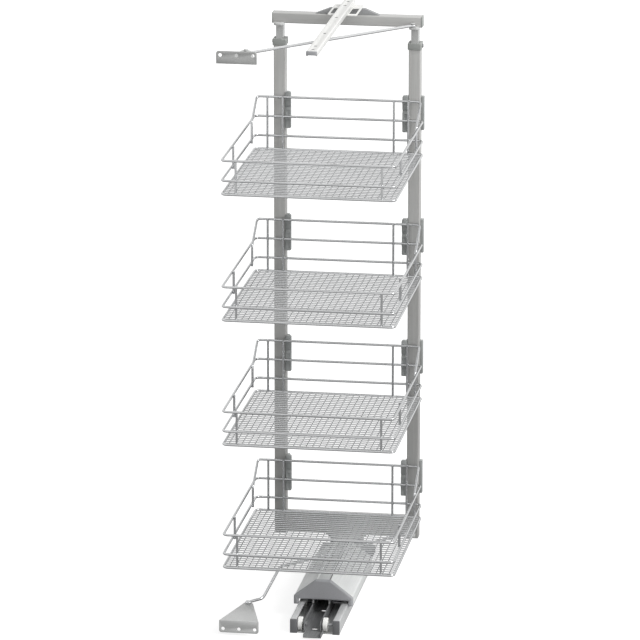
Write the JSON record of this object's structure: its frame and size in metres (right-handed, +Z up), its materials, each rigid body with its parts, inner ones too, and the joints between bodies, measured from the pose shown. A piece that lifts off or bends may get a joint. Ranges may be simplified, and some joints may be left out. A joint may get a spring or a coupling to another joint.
{
  "type": "pull out pantry frame",
  "caption": "Swivelling pull out pantry frame with wire baskets, floor and ceiling runners and control rods.",
  "frame": {"origin": "on the cabinet floor, at the middle of the four screws that hold the floor rails", "axes": "+Z up; +Y the way the frame pulls out of the cabinet; +X to the right seen from the cabinet's back"},
  "size_m": [0.4138, 0.6, 1.423],
  "materials": {
    "rail_steel": "zinc plated",
    "grey_plastic": "matte",
    "plated_steel": "zinc plated",
    "grey_metal": "satin",
    "white_plastic": "satin",
    "cover_metal": "anodised",
    "frame_metal": "satin anodised",
    "tube_metal": "satin",
    "collar_plastic": "matte",
    "bracket_plastic": "matte",
    "slide_white": "satin",
    "rod_chrome": "polished",
    "basket_wire": "polished"
  },
  "bodies": {
    "base": {"rail_left": "rail_steel", "rail_right": "rail_steel", "rail_ends": "grey_plastic", "rail_ties": "rail_steel", "lower_bracket": "plated_steel", "lower_rivet": "plated_steel"},
    "ceiling": {"ceiling_rail": "slide_white", "ceiling_stop": "grey_plastic", "upper_bracket": "plated_steel", "upper_rivet": "plated_steel"},
    "carriage": {"carriage_beam": "rail_steel", "carriage_body": "rail_steel", "wheel_axles": "plated_steel", "cover": "cover_metal", "cover_strip": "cover_metal", "cover_cap_rear": "grey_plastic", "cover_cap_front": "grey_plastic", "swivel_base": "grey_metal", "swivel_washer": "white_plastic"},
    "rear_wheel_set": {"rear_wheels": "white_plastic"},
    "lift_roller_set": {"lift_rollers": "white_plastic"},
    "middle_roller_set": {"middle_rollers": "white_plastic"},
    "frame": {"swivel_plate": "plated_steel", "swivel_bolt": "plated_steel", "cross_member": "frame_metal", "upright_left": "frame_metal", "upright_right": "frame_metal", "upright_plugs": "grey_plastic", "collar_left": "collar_plastic", "collar_right": "collar_plastic", "clamp_screws": "plated_steel", "lower_rod_lug": "plated_steel", "basket_bracket_left_1": "bracket_plastic", "basket_bracket_left_2": "bracket_plastic", "basket_bracket_left_3": "bracket_plastic", "basket_bracket_left_4": "bracket_plastic", "basket_bracket_right_1": "bracket_plastic", "basket_bracket_right_2": "bracket_plastic", "basket_bracket_right_3": "bracket_plastic", "basket_bracket_right_4": "bracket_plastic"},
    "extension": {"inner_tube_left": "tube_metal", "inner_tube_right": "tube_metal", "tube_shelf_left": "white_plastic", "tube_shelf_right": "white_plastic", "crossbar": "frame_metal", "crossbar_caps": "grey_plastic", "pivot_wings": "grey_metal", "pivot_bolt": "plated_steel"},
    "ceiling_slider": {"slide_runner": "slide_white", "pivot_bracket": "plated_steel"},
    "upper_link": {"upper_rod": "rod_chrome"},
    "lower_link": {"lower_rod": "rod_chrome"},
    "basket_set_1": {"basket_1": "basket_wire", "basket_floor_1": "basket_wire"},
    "basket_set_2": {"basket_2": "basket_wire", "basket_floor_2": "basket_wire"},
    "basket_set_3": {"basket_3": "basket_wire", "basket_floor_3": "basket_wire"},
    "basket_set_4": {"basket_4": "basket_wire", "basket_floor_4": "basket_wire"}
  },
  "joints": [
    {"name": "carriage_slide", "type": "slide", "parent": "base", "child": "carriage", "axis": [0, 1, 0], "range_m": [0, 0.23746]},
    {"name": "frame_swivel", "type": "hinge", "parent": "carriage", "child": "frame", "pos_m": [0, 0.254, 0.088], "axis": [0, 0, 1], "range_deg": [-90.5, 0.5]},
    {"name": "upright_extension", "type": "slide", "parent": "frame", "child": "extension", "axis": [0, 0, 1], "range_m": [0, 0.25]},
    {"name": "ceiling_height", "type": "slide", "parent": "base", "child": "ceiling", "axis": [0, 0, 1], "range_m": [-0.001, 0.251]},
    {"name": "ceiling_slide", "type": "slide", "parent": "ceiling", "child": "ceiling_slider", "axis": [0, 1, 0], "range_m": [-0.001, 0.23846]},
    {"name": "upper_rod_hinge", "type": "hinge", "parent": "extension", "child": "upper_link", "pos_m": [0.16, 0.23, 1.3753], "axis": [0, 0, 1], "range_deg": [-0.5, 114.5]},
    {"name": "lower_rod_hinge", "type": "hinge", "parent": "frame", "child": "lower_link", "pos_m": [0.16, 0.23, 0.1078], "axis": [0, 0, 1], "range_deg": [-0.5, 114.5]},
    {"name": "rear_wheel_turn", "type": "hinge", "parent": "carriage", "child": "rear_wheel_set", "pos_m": [0, -0.234, 0.019], "axis": [1, 0, 0], "range_deg": [-830, 1]},
    {"name": "lift_roller_turn", "type": "hinge", "parent": "carriage", "child": "lift_roller_set", "pos_m": [0, -0.234, 0.019], "axis": [1, 0, 0], "range_deg": [-1, 1070]},
    {"name": "middle_roller_turn", "type": "hinge", "parent": "carriage", "child": "middle_roller_set", "pos_m": [0, -0.061, 0.017], "axis": [1, 0, 0], "range_deg": [-945, 1]},
    {"name": "basket_1_lift", "type": "slide", "parent": "frame", "child": "basket_set_1", "axis": [0, 0, 1], "range_m": [0, 0.02]},
    {"name": "basket_2_lift", "type": "slide", "parent": "frame", "child": "basket_set_2", "axis": [0, 0, 1], "range_m": [0, 0.02]},
    {"name": "basket_3_lift", "type": "slide", "parent": "frame", "child": "basket_set_3", "axis": [0, 0, 1], "range_m": [0, 0.02]},
    {"name": "basket_4_lift", "type": "slide", "parent": "frame", "child": "basket_set_4", "axis": [0, 0, 1], "range_m": [0, 0.02]}
  ],
  "couplings": [
    {"joint": "frame_swivel", "follows": "carriage_slide", "rad_per_m": -6.6151},
    {"joint": "ceiling_height", "follows": "upright_extension", "ratio": 1},
    {"joint": "ceiling_slide", "follows": "carriage_slide", "ratio": 1},
    {"joint": "upper_rod_hinge", "follows": "carriage_slide", "rad_per_m": 8.3457},
    {"joint": "lower_rod_hinge", "follows": "carriage_slide", "rad_per_m": 8.3457},
    {"joint": "rear_wheel_turn", "follows": "carriage_slide", "rad_per_m": -60.606},
    {"joint": "lift_roller_turn", "follows": "carriage_slide", "rad_per_m": 78.125},
    {"joint": "middle_roller_turn", "follows": "carriage_slide", "rad_per_m": -68.966}
  ]
}
